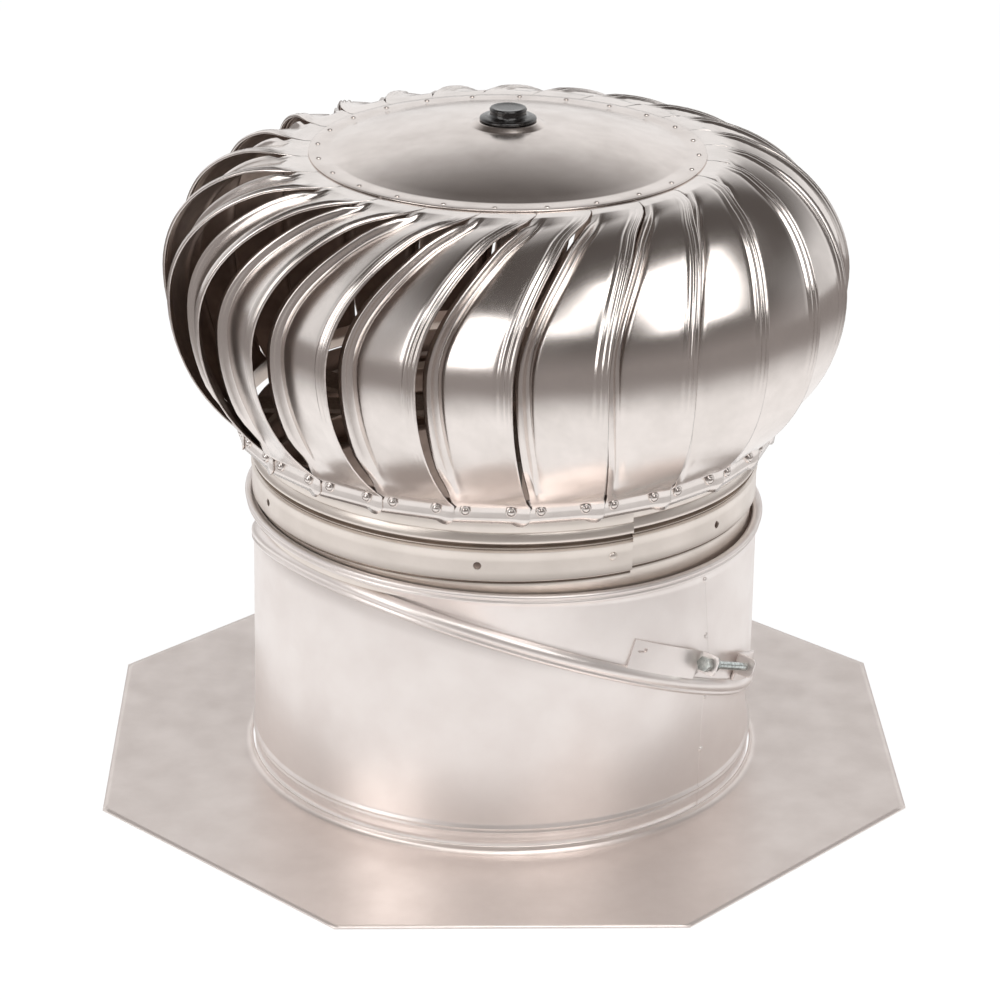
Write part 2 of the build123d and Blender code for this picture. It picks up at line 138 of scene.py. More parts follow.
# Sizes of the vanes
vane_count = 24
pitch = 360 / vane_count
vane_phase = -85.1
vane_sheet = 0.9
belly_r = 201.3
belly_z = 304.0
shoulder_arc = 73.5
flare_arc = 106.0
tab_line_r = 161.2
tab_bottom_z = 211.4
vane_lean = 3.8
top_sweep = 17.0
crest_sweep = 2.6       # the lip's extra run over the very top
tip_r = 120.0           # where two vanes close on each other under the crown
tip_sweep = 2.0
inner_tab_r = 105.0
vane_gap = 0.7
vane_bulge = 1.3
tab_rivet_z = 218.6
tab_rivet_shifts = (2.5, 11.6)
tongue_reach = 1.1      # how far a tab's end laps over the next tab
tongue_drop = 1.6
tongue_corner = 4.2
tongue_corner_at = 0.62
vane_depth = 16.5
vane_depth_ease = 0.62
slit_foot = 0.03        # the slit starts this share of the way up
tab_slope = math.degrees(math.acos((tab_line_r - belly_r + flare_arc) / flare_arc))
head_top_z = belly_z + shoulder_arc

# Sizes of the crown and the cap
crown_r = 115.3
dome_r = 103.0
dome_arc = 341.0
crown_sheet = 0.9
boss_r = 21.5
boss_top_r = 18.0
boss_h = 2.4
cap_flange_r = 16.6
cap_button_r = 10.8
cap_base_up = 4.6       # from the cap's lowest point to its flange
crown_rivet_r = 110.5
crown_rivet_at = -78.5


# Geometry helpers


def around(radius, angle, z):
    """A point at a radius and a direction in degrees about the main axis."""
    return Vector((radius * math.cos(math.radians(angle)), radius * math.sin(math.radians(angle)), z))


def smooth(low, high, value):
    """0 below low, 1 above high, and a smooth step between them."""
    share = min(1.0, max(0.0, (value - low) / (high - low)))
    return share * share * (3 - 2 * share)


def hump(middle, half_width, value):
    """A rounded ridge, 1 at its middle and 0 beyond its half width."""
    away = abs(value - middle) / half_width
    return 0.0 if away >= 1 else 0.5 + 0.5 * math.cos(math.pi * away)


def new_object(name, points, faces, smooth_faces=True):
    """A mesh object from points in millimetres."""
    mesh = bpy.data.meshes.new(name)
    mesh.from_pydata([Vector(point) * MM for point in points], [], faces)
    mesh.polygons.foreach_set("use_smooth", [smooth_faces] * len(mesh.polygons))
    mesh.update()
    piece = bpy.data.objects.new(name, mesh)
    bpy.context.scene.collection.objects.link(piece)
    return piece


def grid_faces(rows, columns, close_columns=False, start=0):
    """Faces between the rows and columns of a grid of points."""
    faces = []
    wide = columns if close_columns else columns - 1
    for row in range(rows - 1):
        for column in range(wide):
            after = (column + 1) % columns
            low = start + row * columns
            high = low + columns
            faces.append((low + column, low + after, high + after, high + column))
    return faces


def level_out(point):
    """The level direction outwards from the main axis at a point."""
    return Vector((point.x, point.y, 0)).normalized()


def give_thickness(piece, sheet, paint_inner_shade=False):
    """Thicken a sheet to its inner side, which may take the piece's second material, a rougher sheet whose
    dark colour is painted shade.
    """
    solid = piece.modifiers.new("sheet", "SOLIDIFY")
    solid.thickness = sheet * MM
    solid.offset = -1.0
    solid.use_even_offset = True
    if paint_inner_shade:
        solid.material_offset = 1


def finish_piece(piece, material, body, slot, *nodes):
    """Dress a piece, hang it on its body and let it stand for its CAD nodes."""
    piece.data.materials.append(material)
    # Inner faces take the darker inside material: painted shade of the hollow inside.
    if any(modifier.type == "SOLIDIFY" and modifier.material_offset for modifier in piece.modifiers):
        piece.data.materials.append(painted_shade_inside_metal)
    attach(piece, body)
    if nodes:
        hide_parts(*nodes)


def ring_point(centre, normal, radius, azimuth):
    """The point of a tilted circle that lies in a direction from the axis."""
    level = around(1, azimuth, 0)
    climb = -(normal.x * level.x + normal.y * level.y) / normal.z
    return centre + Vector((level.x, level.y, climb)).normalized() * radius


def offset_profile(radius, height, points):
    """A profile from distances outwards and upwards of a radius and a height."""
    return [(radius + out, height + up) for out, up in points]


def turned_rows(profile, azimuths, centre=Vector((0, 0, 0)), normal=Vector((0, 0, 1))):
    """Points of a turned sheet; the profile holds (radius, height) along the axis."""
    return [
        [ring_point(centre + normal * height, normal, radius, azimuth) for azimuth in azimuths]
        for radius, height in profile
    ]


def blend_rows(low_row, high_row, steps):
    """Rows of a ruled sheet between two rows, without either."""
    return [
        [low.lerp(high, step / steps) for low, high in zip(low_row, high_row)]
        for step in range(1, steps)
    ]


def sheet_object(name, rows, closed=True):
    """An object from rows of points, closed round the axis."""
    points = [point for row in rows for point in row]
    return new_object(name, points, grid_faces(len(rows), len(rows[0]), closed))


def full_circle(count, start=0.0):
    """Directions all the way round."""
    return [start + 360 * step / count for step in range(count)]


def turned_object(name, profile, count=160, centre=Vector((0, 0, 0)), normal=Vector((0, 0, 1))):
    """A closed turned sheet."""
    return sheet_object(name, turned_rows(profile, full_circle(count), centre, normal))


def arc_profile(centre_r, centre_z, radius, start, end, steps):
    """Points of a round stretch of a profile, from one angle in degrees to another."""
    angles = [start + (end - start) * step / steps for step in range(steps + 1)]
    return [
        (centre_r + radius * math.cos(math.radians(angle)), centre_z + radius * math.sin(math.radians(angle)))
        for angle in angles
    ]


def join_solids(name, solids):
    """One mesh object from several closed solids, each a list of points and of faces."""
    points = []
    faces = []
    for more_points, more_faces in solids:
        start = len(points)
        points += more_points
        faces += [tuple(start + corner for corner in face) for face in more_faces]
    return new_object(name, points, faces)


def rod_solid(centre, out, radius, reach, half=0.0, along=None, count=24):
    """A closed rod through a point, along a direction both ways; drawn out sideways it cuts a slot."""
    side = along if along else level_side(out)
    up = out.cross(side)
    points = []
    for end in (-reach, reach):
        for angle in full_circle(count, 180 / count):
            turn = math.radians(angle)
            stretch = half if math.cos(turn) > 0 else -half
            spot = centre + side * (math.cos(turn) * radius + stretch)
            points.append(spot + up * math.sin(turn) * radius + out * end)
    faces = grid_faces(2, count, True)
    faces += [tuple(range(count))[::-1], tuple(range(count, 2 * count))]
    return points, faces


def level_side(out):
    """A level direction square to another one."""
    side = out.cross(Vector((0, 0, 1)))
    return side.normalized() if side.length > 0.01 else Vector((1, 0, 0))


cut_edge_angle = 40     # degrees between faces from which a cut's edge is sharp


def cut_away(piece, cutter):
    """Take a solid out of a piece, and keep the result as the piece's own mesh."""
    modifier = piece.modifiers.new("cut", "BOOLEAN")
    modifier.operation = "DIFFERENCE"
    modifier.solver = "EXACT"
    modifier.object = cutter
    bpy.context.view_layer.update()
    graph = bpy.context.evaluated_depsgraph_get()
    mesh = bpy.data.meshes.new_from_object(piece.evaluated_get(graph))
    mesh.set_sharp_from_angle(angle=math.radians(cut_edge_angle))
    piece.modifiers.clear()
    piece.data = mesh
    bpy.data.objects.remove(cutter)


def drill(piece, places, radius, reach):
    """Round holes through a piece."""
    rods = [rod_solid(centre, out, radius, reach) for centre, out in places]
    cut_away(piece, join_solids("drill", rods))


def on_surface(piece, azimuth, z):
    """The outermost point of a piece in a direction, at a height, and its normal."""
    bpy.context.view_layer.update()
    home = piece.matrix_world.inverted()
    start = home @ (around(400, azimuth, z) * MM)
    towards = (home.to_3x3() @ around(-1, azimuth, 0)).normalized()
    found, point, normal, _ = piece.ray_cast(start, towards)
    if not found:
        raise ValueError(f"no surface at {azimuth}, {z}")
    return piece.matrix_world @ point / MM, (piece.matrix_world.to_3x3() @ normal).normalized()


# Materials


def node_material(name):
    """A new node material with its tree and its surface shader."""
    material = bpy.data.materials.new(name)
    material.use_nodes = True
    tree = material.node_tree
    return material, tree, tree.nodes["Principled BSDF"]


def noise(tree, scale, detail=3.0, stretch=(1, 1, 1), roughness=0.5):
    """A noise texture in object space, stretched along the axes."""
    place = tree.nodes.new("ShaderNodeTexCoord")
    mapping = tree.nodes.new("ShaderNodeMapping")
    mapping.inputs["Scale"].default_value = stretch
    texture = tree.nodes.new("ShaderNodeTexNoise")
    texture.inputs["Scale"].default_value = scale
    texture.inputs["Detail"].default_value = detail
    texture.inputs["Roughness"].default_value = roughness
    tree.links.new(place.outputs["Object"], mapping.inputs["Vector"])
    tree.links.new(mapping.outputs["Vector"], texture.inputs["Vector"])
    return texture.outputs["Fac"]


def ramp(tree, value, low, high, low_value, high_value):
    """Map a value's range to another."""
    node = tree.nodes.new("ShaderNodeMapRange")
    node.inputs["From Min"].default_value = low
    node.inputs["From Max"].default_value = high
    node.inputs["To Min"].default_value = low_value
    node.inputs["To Max"].default_value = high_value
    tree.links.new(value, node.inputs["Value"])
    return node.outputs["Result"]


def colour_mix(tree, factor, first, second):
    """Mix two colours by a factor."""
    node = tree.nodes.new("ShaderNodeMix")
    node.data_type = "RGBA"
    node.inputs["A"].default_value = (*first, 1)
    node.inputs["B"].default_value = (*second, 1)
    tree.links.new(factor, node.inputs["Factor"])
    return node.outputs["Result"]


def bump(tree, shader, height, distance, strength):
    """Add a bump to the shader, on top of one that is there."""
    node = tree.nodes.new("ShaderNodeBump")
    node.inputs["Distance"].default_value = distance * MM
    node.inputs["Strength"].default_value = strength
    tree.links.new(height, node.inputs["Height"])
    before = shader.inputs["Normal"].links
    if before:
        tree.links.new(before[0].from_socket, node.inputs["Normal"])
    tree.links.new(node.outputs["Normal"], shader.inputs["Normal"])


def sheet_metal(name, pale, dark, rough, dent, dent_scale, grain=(1, 1, 14), metallic=1.0):
    """Rolled aluminium sheet: a faint mottle, fine rolling lines and shallow waves."""
    material, tree, shader = node_material(name)
    shader.inputs["Metallic"].default_value = metallic
    mottle = noise(tree, 38, 5, roughness=0.6)
    lines = noise(tree, 260, 2, stretch=grain)
    waves = noise(tree, dent_scale, 2)
    tone = colour_mix(tree, ramp(tree, mottle, 0.35, 0.65, 0, 1), pale, dark)
    tree.links.new(tone, shader.inputs["Base Color"])
    roughness = ramp(tree, mottle, 0.3, 0.7, *rough)
    tree.links.new(roughness, shader.inputs["Roughness"])
    bump(tree, shader, lines, 0.02, 0.25)
    bump(tree, shader, waves, dent, 0.6)
    return material


def plated_steel(name, pale, dark, rough):
    """Zinc plating: cool mottled metal."""
    material, tree, shader = node_material(name)
    shader.inputs["Metallic"].default_value = 1.0
    spangle = noise(tree, 420, 4, roughness=0.7)
    tone = colour_mix(tree, ramp(tree, spangle, 0.35, 0.65, 0, 1), pale, dark)
    tree.links.new(tone, shader.inputs["Base Color"])
    tree.links.new(ramp(tree, spangle, 0.3, 0.7, rough, rough * 1.8), shader.inputs["Roughness"])
    bump(tree, shader, spangle, 0.1, 0.4)
    return material


def black_rubber():
    """Moulded rubber with a faint dust."""
    material, tree, shader = node_material("black_rubber")
    dust = noise(tree, 300, 5, roughness=0.7)
    share = ramp(tree, dust, 0.5, 0.8, 0, 1)
    tone = colour_mix(tree, share, (0.008, 0.007, 0.007), (0.05, 0.045, 0.042))
    tree.links.new(tone, shader.inputs["Base Color"])
    tree.links.new(ramp(tree, dust, 0.3, 0.7, 0.16, 0.3), shader.inputs["Roughness"])
    shader.inputs["Coat Weight"].default_value = 0.4
    shader.inputs["Coat Roughness"].default_value = 0.12
    bump(tree, shader, dust, 0.05, 0.3)
    return material


vane_metal = sheet_metal(
    "vane_aluminium", (0.88, 0.82, 0.785), (0.80, 0.745, 0.71), (0.17, 0.25), 0.2, 22.0
)
# Inner faces: a rougher sheet whose dark colour is painted shade of the hollow inside.
painted_shade_inside_metal = sheet_metal(
    "inside_painted_shade", (0.46, 0.37, 0.32), (0.30, 0.235, 0.205), (0.34, 0.48), 0.2, 22.0
)
crown_metal = sheet_metal(
    "crown_aluminium", (0.82, 0.75, 0.71), (0.75, 0.68, 0.64), (0.17, 0.26), 0.3, 14.0, (14, 14, 1)
)
collar_metal = sheet_metal(
    "collar_aluminium", (0.88, 0.805, 0.745), (0.83, 0.76, 0.70), (0.28, 0.38), 0.2, 12.0, metallic=0.82
)
# Painted shade in the collar's grooves, with some grime: a darker, duller sheet.
groove_shade_metal = sheet_metal(
    "collar_groove_painted_shade", (0.36, 0.29, 0.24), (0.26, 0.21, 0.175), (0.4, 0.55), 0.2, 12.0, metallic=0.82
)
base_metal = sheet_metal(
    "base_aluminium", (0.94, 0.88, 0.85), (0.91, 0.845, 0.815), (0.3, 0.4), 0.1, 9.0, metallic=0.7
)
flashing_metal = sheet_metal(
    "flashing_aluminium", (0.93, 0.85, 0.81), (0.88, 0.80, 0.76), (0.32, 0.42), 0.2, 6.0, (1, 14, 1), 0.75
)
strip_steel = plated_steel("strip_steel", (0.58, 0.53, 0.48), (0.46, 0.41, 0.37), 0.3)
zinc = plated_steel("zinc_steel", (0.66, 0.70, 0.68), (0.34, 0.37, 0.36), 0.1)
turned_steel = plated_steel("shaft_steel", (0.56, 0.53, 0.5), (0.44, 0.41, 0.39), 0.25)
rubber = black_rubber()


# Flashing: an octagonal sheet that rises in a round foot


def octagon_radius(azimuth):
    """Distance from the centre to the octagon's edge in a direction."""
    side = 360 / flashing_sides
    within = (azimuth - flashing_turn + side / 2) % side - side / 2
    return flashing_apothem / math.cos(math.radians(within))


def flashing_piece():
    """The flashing's top face, thickened downwards."""
    azimuths = full_circle(320, flashing_turn + 180 / flashing_sides)
    foot = offset_profile(throat_r, 0.0, [(1.3, 3.6), (1.2, 5.2), (1.9, 5.7), (2.7, 5.2)])
    foot += arc_profile(foot_r, flashing_sheet + foot_curl, foot_curl, 205, 270, 6)
    rows = turned_rows(foot, azimuths)
    steps = 26
    for step in range(1, steps + 1):
        share = step / steps
        row = []
        for azimuth in azimuths:
            outer = octagon_radius(azimuth)
            radius = foot_r + (outer - foot_r) * share
            row.append(around(radius, azimuth, flashing_sheet))
        rows.append(row)
    piece = sheet_object("flashing_skin", rows)
    flip(piece)
    give_thickness(piece, flashing_sheet)
    finish_piece(piece, flashing_metal, "base", "base_aluminium", "flashing")


def flip(piece):
    """Turn a mesh's faces over."""
    piece.data.flip_normals()


flashing_piece()


# Base ducts: two sheets that meet on the tilted joint


def lapped(rows, azimuths):
    """Lift one side of the lap seam by a sheet's thickness, fading out round the duct."""
    for row in rows:
        for index, azimuth in enumerate(azimuths):
            past = (azimuth - lap_at) % 360
            lift = lap_step * (1 - smooth(*lap_fade, past))
            row[index] = row[index] + level_out(row[index]) * lift
    return rows


def split_circle(start, count):
    """Directions all the way round from a lap, close together beside it."""
    near = (0.02, 0.1, 0.3, 0.7)
    gap = 1.5
    steps = [start + gap + (360 - 2 * gap) * step / (count - 1) for step in range(count)]
    return [start + way for way in near] + steps + [start + 360 - way for way in near[::-1]]


duct_azimuths = split_circle(lap_at, 236)
# The neck above the joint, from its flange; the lower duct mirrors it
neck_profile = [
    (flange_out, flange_gap),
    (flange_out, flange_gap + flange_t),
    (0.0, flange_gap + flange_t + 0.1),
    (0.0, neck_h / 2),
    (-0.2, neck_h),
]


def duct_object(name, rows):
    """A duct that is split along its lap seam, with the seam's edge showing."""
    rows = lapped(rows, duct_azimuths)
    piece = sheet_object(name, rows, closed=True)
    give_thickness(piece, base_sheet, paint_inner_shade=True)
    return piece


def lower_duct():
    """From the foot, past the rolled bead, up to the tilted neck."""
    bead = [(0.0, 12.2), (0.8, 13.0), (0.9, 13.7), (0.25, 14.3), (0.3, 15.0)]
    bead += [(1.2, 15.8), (1.25, 16.5), (0.0, 17.4)]
    profile = offset_profile(throat_r, 0.0, [(0.0, 0.6), (0.0, 9.5)] + bead + [(0.0, foot_top_z)])
    rows = turned_rows(profile, duct_azimuths)
    neck = [(seam_r + out, -height) for out, height in neck_profile[::-1]]
    neck_rows = turned_rows(neck, duct_azimuths, seam_centre, seam_normal)
    rows += blend_rows(rows[-1], neck_rows[0], 14)
    rows += neck_rows
    piece = duct_object("lower_duct", rows)
    finish_piece(piece, base_metal, "base", "base_aluminium", "base_lower")
    return piece


def upper_duct():
    """From the tilted neck up to the rolled rim."""
    rows = turned_rows(offset_profile(seam_r, 0.0, neck_profile), duct_azimuths, seam_centre, seam_normal)
    top = offset_profile(throat_r, 0.0, [(0.0, -1.8), (0.4, -1.3)])
    lower_r = throat_r + rim_proud - 0.9 - rim_curl
    upper_r = throat_r + rim_proud - 0.2 - rim_curl
    top += arc_profile(lower_r, 0.4, rim_curl, -70, 55, 6)
    top += arc_profile(upper_r, rim_h - rim_curl - 0.2, rim_curl, -60, 100, 8)
    top += offset_profile(throat_r, rim_h, [(-0.4, -0.5), (-1.8, -1.2), (-2.7, -2.2)])
    rim = turned_rows(top, duct_azimuths, rim_centre, rim_normal)
    rows += blend_rows(rows[-1], rim[0], 14)
    rows += rim
    piece = duct_object("upper_duct", rows)
    finish_piece(piece, base_metal, "neck", "base_aluminium", "base_upper")
    return piece


lower_skin = lower_duct()
upper_skin = upper_duct()


# Clamp band over the joint


def band_profile():
    """The band's section: a broad rolled crest over a narrower lower one."""
    points = [(0.3, -5.2), (0.9, -4.7), (1.7, -4.0), (1.9, -3.4), (1.3, -2.7)]
    points += [(1.5, -2.2), (2.4, -1.6), (2.9, -0.8), (3.1, 0.4), (3.0, 1.6), (2.6, 2.8)]
    points += [(1.8, 3.9), (0.8, 4.8), (0.3, 5.2)]
    return offset_profile(seam_r, 0.0, points)


def seam_angle(direction):
    """The angle in the joint's plane under a level direction, from the plane's x."""
    spot = ring_point(seam_centre, seam_normal, 1, direction) - seam_centre
    return math.degrees(math.atan2(spot.dot(seam_y), spot.dot(seam_x)))


seam_x = Vector((seam_normal.y, -seam_normal.x, 0)).normalized()
seam_y = seam_normal.cross(seam_x)


def seam_point(radius, angle, height):
    """A point by radius, angle and height about the joint's axis."""
    turn = math.radians(angle)
    level = seam_x * math.cos(turn) + seam_y * math.sin(turn)
    return seam_centre + level * radius + seam_normal * height


def clamp_band_piece():
    """The ring: its ends lap under the lugs, so it shows no gap."""
    angles = full_circle(240)
    rows = [[seam_point(radius, angle, height) for angle in angles] for radius, height in band_profile()]
    piece = sheet_object("band", rows)
    give_thickness(piece, band_sheet)
    finish_piece(piece, base_metal, "neck", "base_aluminium", "clamp_band")


def lug_piece(name, lug_at, ear_at, middle, half_span):
    """A lug on the duct, bent outwards into an ear; middle is the bolt's angle."""
    side = 1 if seam_angle(ear_at) > middle else -1
    start = (seam_angle(lug_at) - middle) * side
    end = math.degrees(math.asin((half_span + ear_bend) / lug_r))
    lug_steps = 14
    bend_steps = 6
    path = []
    for step in range(lug_steps + 1):
        angle = math.radians(start + (end - start) * step / lug_steps)
        path.append((lug_r * math.cos(angle), lug_r * math.sin(angle), lug_low, lug_high))
    foot = path[-1][0]
    for step in range(1, bend_steps + 1):
        turn = math.radians(90 * step / bend_steps)
        low = lug_low + (ear_low - lug_low) * step / bend_steps
        out = foot + ear_bend * (1 - math.cos(turn))
        path.append((out, half_span + ear_bend * (1 - math.sin(turn)), low, lug_high))
    tip = lug_r + ear_out
    for back in (2.0, 1.0, 0.6, 0.3, 0.1, 0.0):
        cut = ear_corner * (1 - math.sqrt(max(0.0, 1 - (1 - min(back, 1.0)) ** 2)))
        path.append((tip - back * ear_corner, half_span, ear_low + cut, lug_high - cut))
    shares = (0.0, 0.06, 0.35, 0.65, 0.94, 1.0)
    rows = []
    for share in shares:
        row = []
        for out, across, low, high in path:
            angle = middle + side * math.degrees(math.atan2(across, out))
            row.append(seam_point(math.hypot(out, across), angle, low + (high - low) * share))
        rows.append(row)
    if side > 0:
        rows = rows[::-1]
    piece = sheet_object(name, rows, closed=False)
    give_thickness(piece, ear_t)
    finish_piece(piece, base_metal, "neck", "base_aluminium", "clamp_band")
    return piece


def clamp_lugs():
    """Both lugs, with the slot that is stamped through the left one."""
    middle = (seam_angle(left_ear_at) + seam_angle(right_ear_at)) / 2
    half_turn = abs(seam_angle(right_ear_at) - seam_angle(left_ear_at)) / 2
    half_span = (seam_r + bolt_out) * math.tan(math.radians(half_turn))
    left = lug_piece("left_lug", left_lug_at, left_ear_at, middle, half_span)
    lug_piece("right_lug", right_lug_at, right_ear_at, middle, half_span)
    angle = seam_angle(slot_at)
    spot = seam_point(lug_r, angle, slot_h)
    out = (seam_point(lug_r, angle, 0) - seam_centre).normalized()
    ahead = seam_point(lug_r, angle + 1, slot_h + slot_rise)
    behind = seam_point(lug_r, angle - 1, slot_h - slot_rise)
    along = (ahead - behind).normalized()
    along = (along - out * along.dot(out)).normalized()
    cutter = rod_solid(spot, out, slot_r, slot_reach, slot_half, along)
    cut_away(left, join_solids("slot", [cutter]))


clamp_band_piece()
clamp_lugs()


# Throat collar


def collar_drift(azimuth):
    """The collar's sheet ends a little higher than it starts, which shows at its lap."""
    past = (azimuth - collar_lap_at) % 360
    return collar_lap_drop * (1 - smooth(0, collar_drift_span, past))


def collar_piece():
    """The throat: a spigot, a taper, a band with a rolled groove and a flared top."""
    azimuths = split_circle(collar_lap_at, 250)
    hidden = offset_profile(spigot_r, spigot_z, [(0.0, -6.4), (0.0, -4.5), (0.6, -3.6)])
    hidden += [(collar_r - 3.4, spigot_z - 2.0), (collar_r - 2.9, rim_centre.z + 1.0)]
    strip = [(-2.2, -3.4), (-2.0, -1.6), (-2.6, -0.5), (-2.4, 0.1), (-0.2, 0.5), (0.2, 1.2), (0.0, 2.2)]
    band = [(0.0, 177.5), (0.0, 184.0), (0.0, 187.4), (0.5, 188.6), (0.4, 189.9), (-1.0, 190.7)]
    band += [(-1.0, 191.3), (-0.3, 191.9), (-0.4, 192.3), (-2.2, 193.0), (-2.2, 194.4), (0.6, 195.3)]
    band += [(0.95, 196.0), (0.85, 197.0), (0.2, 200.6), (-0.5, 201.4), (-0.1, 202.2), (0.0, 206.0)]
    shown = offset_profile(collar_r, collar_taper_z, strip) + offset_profile(collar_r, 0.0, band)
    top = [(collar_r, 209.0), (collar_r, collar_top_z)]
    rows = turned_rows(hidden, azimuths)
    for radius, height in shown:
        rows.append([around(radius, azimuth, height + collar_drift(azimuth)) for azimuth in azimuths])
    rows += turned_rows(top, azimuths)
    for row in rows[len(hidden):]:
        for index, azimuth in enumerate(azimuths):
            under = (collar_lap_at - azimuth) % 360
            lift = collar_lap_step * (1 - smooth(*collar_lap_fade, under))
            row[index] = row[index] + level_out(row[index]) * lift
    piece = sheet_object("throat", rows)
    profile = hidden + shown + top
    # Faces deep in the grooves take the painted groove shade.
    for face in piece.data.polygons:
        row = face.index // len(azimuths)
        middle = (profile[row][0] + profile[row + 1][0]) / 2
        clear = row >= len(hidden) and profile[row + 1][1] > collar_taper_z - 1
        if clear and middle < collar_r - collar_shade_depth:
            face.material_index = 2
    give_thickness(piece, collar_sheet, paint_inner_shade=True)
    finish_piece(piece, collar_metal, "neck", "collar_aluminium", "collar")
    piece.data.materials.append(groove_shade_metal)
    holes = []
    for hole in range(collar_holes):
        azimuth = collar_hole_at + hole * 360 / collar_holes
        holes.append((around(collar_r, azimuth, collar_hole_z), around(1, azimuth, 0)))
    drill(piece, holes, collar_hole_r, collar_hole_reach)
    return piece


collar_skin = collar_piece()


# Vanes


def vane_sweep(facing):
    """Degrees that the lip stands forward of the slit, by the slope of the face."""
    bend = 1 - math.cos(math.radians(facing))
    if facing < 0:
        return vane_lean / (1 - math.cos(math.radians(tab_slope))) * bend - vane_lean
    return top_sweep * bend - vane_lean + crest_sweep * smooth(68, 90, facing)


def vane_edges(number, station):
    """Hidden edge, lip and outward normal of the vane at a station."""
    radius, height, sweep, facing, depth, gap = station
    first = vane_phase + number * pitch + sweep
    slope = math.radians(facing)
    hidden = around(radius - depth * math.cos(slope), first + gap, height - depth * math.sin(slope))
    lip = around(radius, first + pitch, height)
    outward = around(math.cos(slope), first + pitch / 2, math.sin(slope))
    across = (lip - hidden).normalized()
    outward = (outward - across * outward.dot(across)).normalized()
    return hidden, lip, outward


def belly_station(share):
    """A station on the belly, from the tab's bend to the top."""
    facing = -tab_slope + (90 + tab_slope) * share
    arc = flare_arc if facing < 0 else shoulder_arc
    slope = math.radians(facing)
    open_share = max(0.0, (share - slit_foot) / (1 - slit_foot))
    depth = vane_depth * max(0.0, math.sin(math.pi * open_share)) ** vane_depth_ease
    radius = belly_r - arc + arc * math.cos(slope)
    return (radius, belly_z + arc * math.sin(slope), vane_sweep(facing), facing, depth, vane_gap)


def vane_stations():
    """All stations, with the strengths of the hem and of the lip's beads at each."""
    stations = []
    for height in (tab_bottom_z, tab_bottom_z + 3.0, tab_bottom_z + 6.0):
        stations.append(((tab_line_r, height, 0.0, 0.0, 0.0, 0.0), 0.0, 0.0))
    belly_steps = 34
    for step in range(belly_steps + 1):
        share = step / belly_steps
        fade = 1 - smooth(0.93, 1.0, share)
        hem = smooth(slit_foot, 0.16, share) * fade
        lip = smooth(0.16, 0.42, share) * fade
        stations.append((belly_station(share), hem, lip))
    top_r = belly_r - shoulder_arc
    last = vane_sweep(90)
    for share in (0.35, 0.7, 1.0):
        radius = top_r + (tip_r - top_r) * share
        gap = vane_gap * (1 - share)
        stations.append(((radius, head_top_z, last + tip_sweep * share, 90.0, 0.0, gap), 0.0, 0.0))
    stations.append(((inner_tab_r, head_top_z, last + tip_sweep, 90.0, 0.0, 0.0), 0.0, 0.0))
    return stations


# Distances in millimetres across a vane, from its hidden edge and from its lip
hem_columns = (0.0, 0.6, 1.6, 2.8, 3.8, 4.4, 5.2, 6.4, 8.0, 9.6, 12.0)
lip_columns = (12.0, 9.6, 8.7, 7.6, 6.4, 5.4, 4.9, 4.2, 3.4, 2.8, 2.2, 1.5, 0.8, 0.0)
face_columns = 9


def hem_relief(from_hem):
    """The hidden edge is folded up into a flat strip, with a groove beside it."""
    return 4.4 * (1 - smooth(3.4, 5.4, from_hem)) - 1.2 * hump(6.8, 2.8, from_hem)


def lip_relief(from_lip):
    """Two rolled beads and a curled edge along the lip."""
    relief = 1.1 * hump(6.9, 2.1, from_lip) - 0.25 * hump(8.8, 0.9, from_lip)
    relief += 1.25 * hump(3.7, 1.35, from_lip) + 0.9 * hump(1.2, 1.3, from_lip)
    return relief - 0.9 * (1 - smooth(0.0, 0.8, from_lip))


def vane_row(number, station, hem_strength, lip_strength):
    """Points across the vane at one station."""
    hidden, lip, outward = vane_edges(number, station)
    width = (lip - hidden).length
    across = (lip - hidden) / width
    spans = list(hem_columns)
    inner = hem_columns[-1]
    outer = width - lip_columns[0]
    spans += [inner + (outer - inner) * step / face_columns for step in range(1, face_columns)]
    spans += [width - gap for gap in lip_columns]
    row = []
    for span in spans:
        share = span / width
        lift = hem_relief(span) * hem_strength + lip_relief(width - span) * lip_strength
        lift += vane_bulge * lip_strength * 4 * share * (1 - share)
        row.append(hidden + across * span + outward * lift)
    return row


def tab_tongue(row, drop):
    """The right end of a tab laps over the next tab, and its corner is round."""
    first = len(row) - len(lip_columns)
    for column, from_lip in enumerate(lip_columns):
        share = 1 - from_lip / lip_columns[0]
        point = row[first + column]
        out = level_out(point)
        along = Vector((-out.y, out.x, 0))
        lift = vane_sheet * 1.1 * smooth(0.2, 0.7, share)
        point = point + out * lift + along * tongue_reach * smooth(0.0, 1.0, share)
        corner = max(0.0, share - tongue_corner_at) / (1 - tongue_corner_at)
        point.z -= drop * (smooth(0.1, 0.5, share) * tongue_drop - tongue_corner * corner**2)
        row[first + column] = point
    return row


def vane_object(number, stations):
    """One vane; its tab is bent round at the first stations."""
    tab_rows = 4
    rows = []
    for index, (station, hem_strength, lip_strength) in enumerate(stations):
        row = vane_row(number, station, hem_strength, lip_strength)
        if index < tab_rows:
            row = tab_tongue(row, 1.0 if index == 0 else 0.0)
        rows.append(row)
    piece = sheet_object(f"blade_{number + 1:02d}", rows, closed=False)
    give_thickness(piece, vane_sheet, paint_inner_shade=True)
    finish_piece(piece, vane_metal, "rotor", "vane_aluminium", f"vane_{number + 1:02d}")


all_stations = vane_stations()
for number in range(vane_count):
    vane_object(number, all_stations)


# Crown


def dome_z(radius):
    """Height of the dome at a radius."""
    base = head_top_z + crown_sheet - (dome_arc**2 - dome_r**2) ** 0.5
    return base + (dome_arc**2 - radius**2) ** 0.5


